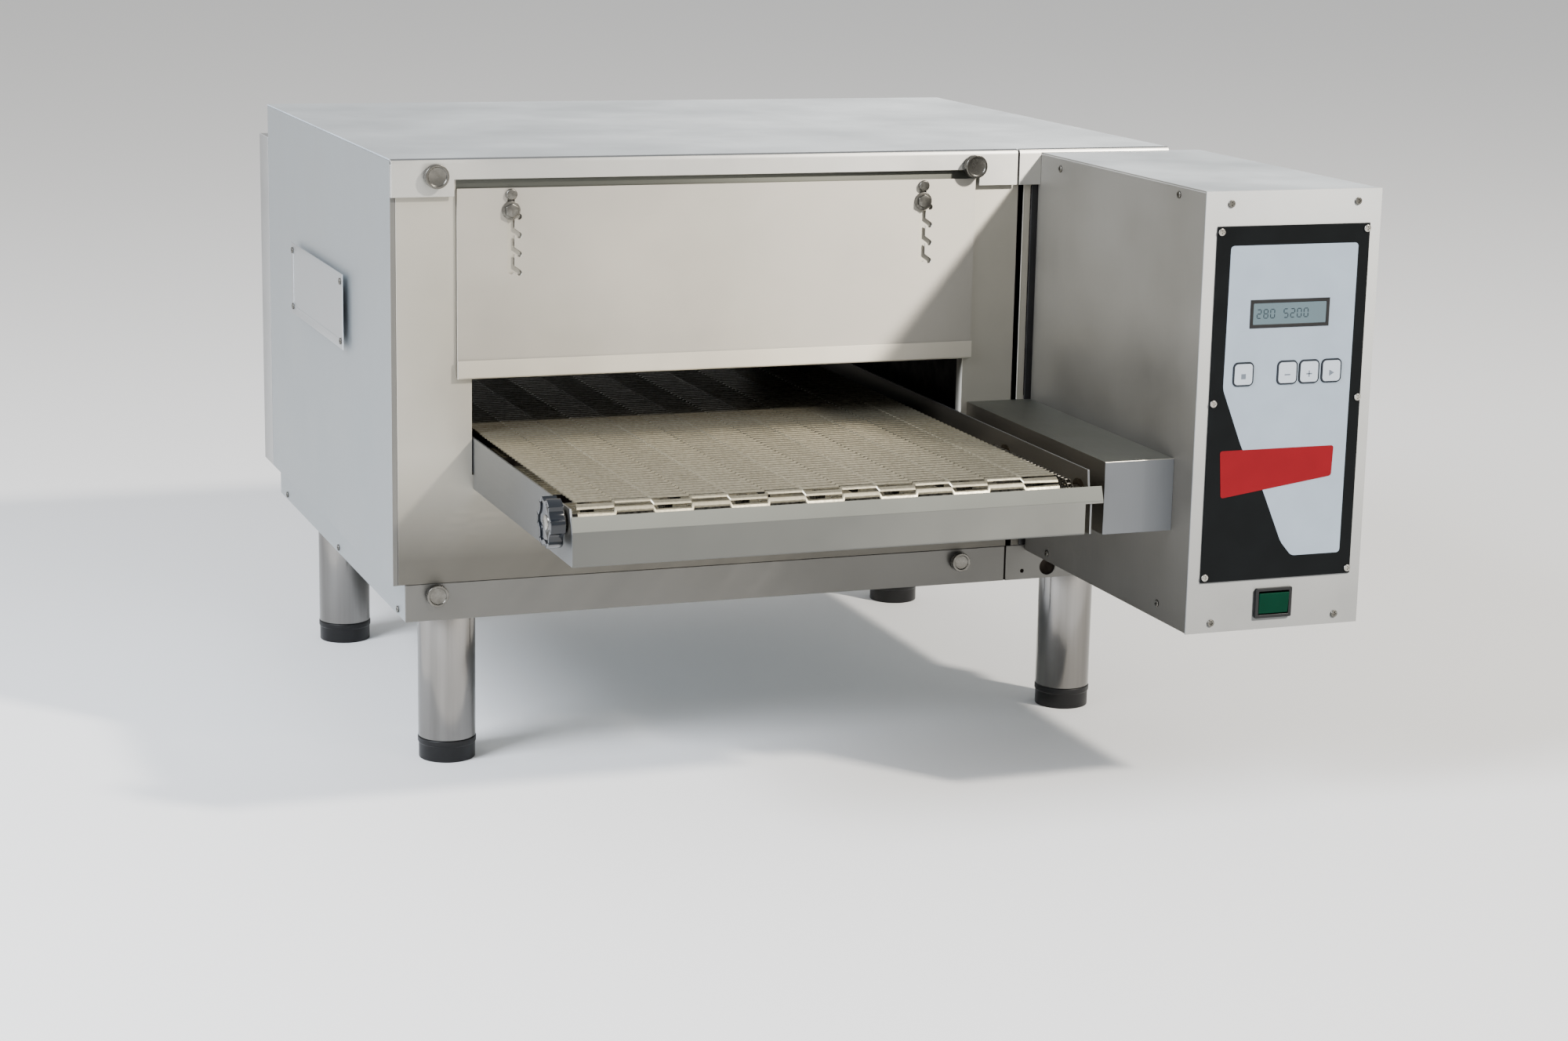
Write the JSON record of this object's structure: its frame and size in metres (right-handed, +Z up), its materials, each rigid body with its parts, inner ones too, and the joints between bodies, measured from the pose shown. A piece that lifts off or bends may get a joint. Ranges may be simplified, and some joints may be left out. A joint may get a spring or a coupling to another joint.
{
  "type": "countertop conveyor pizza oven",
  "caption": "Stainless conveyor oven on round legs: a mesh belt feeds a tunnel mouth under a notched sliding gate, with a tall control box standing forward at the right.",
  "frame": {"origin": "floor level, under the middle of the whole oven's box", "axes": "+Z up, the mouth and the controls face -Y, the control box is at +X"},
  "size_m": [0.863, 1.0376, 0.607],
  "materials": {
    "casing_steel": "satin brushed stainless steel",
    "leg_steel": "polished stainless tube",
    "bright_steel": "bright plated steel",
    "chamber_steel": "heat-darkened aluminised steel",
    "belt_wire": "straw-tinted stainless wire",
    "mineral_wool": "pressed mineral fibre",
    "cast_aluminium": "cast",
    "bronze": "sintered bronze",
    "black_plastic": "moulded black polyamide",
    "knob_plastic": "glossy dark thermoset",
    "overlay_film": "printed polyester film",
    "key_plastic": "embossed film",
    "green_plastic": "translucent green lens",
    "display_glass": "glossy window",
    "board_laminate": "glass-epoxy laminate"
  },
  "bodies": {
    "oven_body": {"base_tray": "casing_steel", "front_base_rail": "casing_steel", "right_base_plate": "casing_steel", "left_casing": "casing_steel", "right_casing": "casing_steel", "top_cover": "casing_steel", "rear_panel": "casing_steel", "rear_cover": "casing_steel", "front_panel": "casing_steel", "top_front_rail": "casing_steel", "right_top_rail": "casing_steel", "right_front_panel": "casing_steel", "bulkhead": "casing_steel", "chamber_floor": "chamber_steel", "chamber_roof": "chamber_steel", "chamber_left_wall": "chamber_steel", "chamber_right_wall": "chamber_steel", "insulation_slabs": "mineral_wool", "upper_jet_plate": "chamber_steel", "lower_jet_plate": "chamber_steel", "heating_elements": "chamber_steel", "fan_motor": "cast_aluminium", "gate_screws": "bright_steel", "panel_knobs": "bright_steel", "casing_screws": "bright_steel", "badge_plate": "casing_steel", "conveyor_left_plate": "casing_steel", "conveyor_right_plate": "casing_steel", "front_apron": "casing_steel", "belt_support_frame": "chamber_steel", "mesh_belt": "belt_wire", "shaft_bushings": "bronze", "drive_chain": "bright_steel", "drive_cover": "casing_steel", "control_box_casing": "casing_steel", "control_front_panel": "casing_steel", "control_overlay": "overlay_film", "display_window": "display_glass", "control_board": "board_laminate", "power_switch_housing": "black_plastic", "control_screws": "bright_steel", "gearmotor": "cast_aluminium", "leg_tubes": "leg_steel", "cable_gland": "black_plastic", "exit_chute": "casing_steel"},
    "gate": {"gate": "casing_steel"},
    "nose_roller": {"nose_shaft": "bright_steel", "belt_knob": "knob_plastic"},
    "rear_roller": {"rear_shaft": "bright_steel"},
    "drive_roller": {"drive_shaft": "bright_steel"},
    "fan_rotor": {"fan_impeller": "cast_aluminium"},
    "power_rocker": {"power_rocker": "green_plastic"},
    "key_1": {"key_1": "key_plastic"},
    "key_2": {"key_2": "key_plastic"},
    "key_3": {"key_3": "key_plastic"},
    "key_4": {"key_4": "key_plastic"},
    "foot_front_left": {"foot_front_left": "black_plastic"},
    "foot_front_right": {"foot_front_right": "black_plastic"},
    "foot_rear_left": {"foot_rear_left": "black_plastic"},
    "foot_rear_right": {"foot_rear_right": "black_plastic"}
  },
  "joints": [
    {"name": "gate_slide", "type": "slide", "parent": "oven_body", "child": "gate", "axis": [0, 0, 1], "range_m": [0, 0.024]},
    {"name": "nose_spin", "type": "hinge", "parent": "oven_body", "child": "nose_roller", "pos_m": [0.076, -0.46922, 0.322], "axis": [1, 0, 0], "continuous": true},
    {"name": "rear_spin", "type": "hinge", "parent": "oven_body", "child": "rear_roller", "pos_m": [0.076, 0.47378, 0.322], "axis": [1, 0, 0], "continuous": true},
    {"name": "drive_spin", "type": "hinge", "parent": "oven_body", "child": "drive_roller", "pos_m": [0.076, -0.30422, 0.322], "axis": [1, 0, 0], "continuous": true},
    {"name": "fan_spin", "type": "hinge", "parent": "oven_body", "child": "fan_rotor", "pos_m": [0.196, 0.14578, 0.475], "axis": [1, 0, 0], "continuous": true},
    {"name": "key_1_press", "type": "slide", "parent": "oven_body", "child": "key_1", "axis": [0, 1, 0], "range_m": [0, 0.0006], "stiffness_N_per_m": 2500},
    {"name": "key_2_press", "type": "slide", "parent": "oven_body", "child": "key_2", "axis": [0, 1, 0], "range_m": [0, 0.0006], "stiffness_N_per_m": 2500},
    {"name": "key_3_press", "type": "slide", "parent": "oven_body", "child": "key_3", "axis": [0, 1, 0], "range_m": [0, 0.0006], "stiffness_N_per_m": 2500},
    {"name": "key_4_press", "type": "slide", "parent": "oven_body", "child": "key_4", "axis": [0, 1, 0], "range_m": [0, 0.0006], "stiffness_N_per_m": 2500},
    {"name": "rocker_tilt", "type": "hinge", "parent": "oven_body", "child": "power_rocker", "pos_m": [0.33775, -0.51472, 0.2135], "axis": [1, 0, 0], "range_deg": [-12, 0]},
    {"name": "leveller_front_left", "type": "slide", "parent": "oven_body", "child": "foot_front_left", "axis": [0, 0, -1], "range_m": [0, 0.02]},
    {"name": "leveller_front_right", "type": "slide", "parent": "oven_body", "child": "foot_front_right", "axis": [0, 0, -1], "range_m": [0, 0.02]},
    {"name": "leveller_rear_left", "type": "slide", "parent": "oven_body", "child": "foot_rear_left", "axis": [0, 0, -1], "range_m": [0, 0.02]},
    {"name": "leveller_rear_right", "type": "slide", "parent": "oven_body", "child": "foot_rear_right", "axis": [0, 0, -1], "range_m": [0, 0.02]}
  ],
  "couplings": [
    {"joint": "rear_spin", "follows": "nose_spin", "ratio": 1},
    {"joint": "drive_spin", "follows": "nose_spin", "ratio": 1}
  ]
}
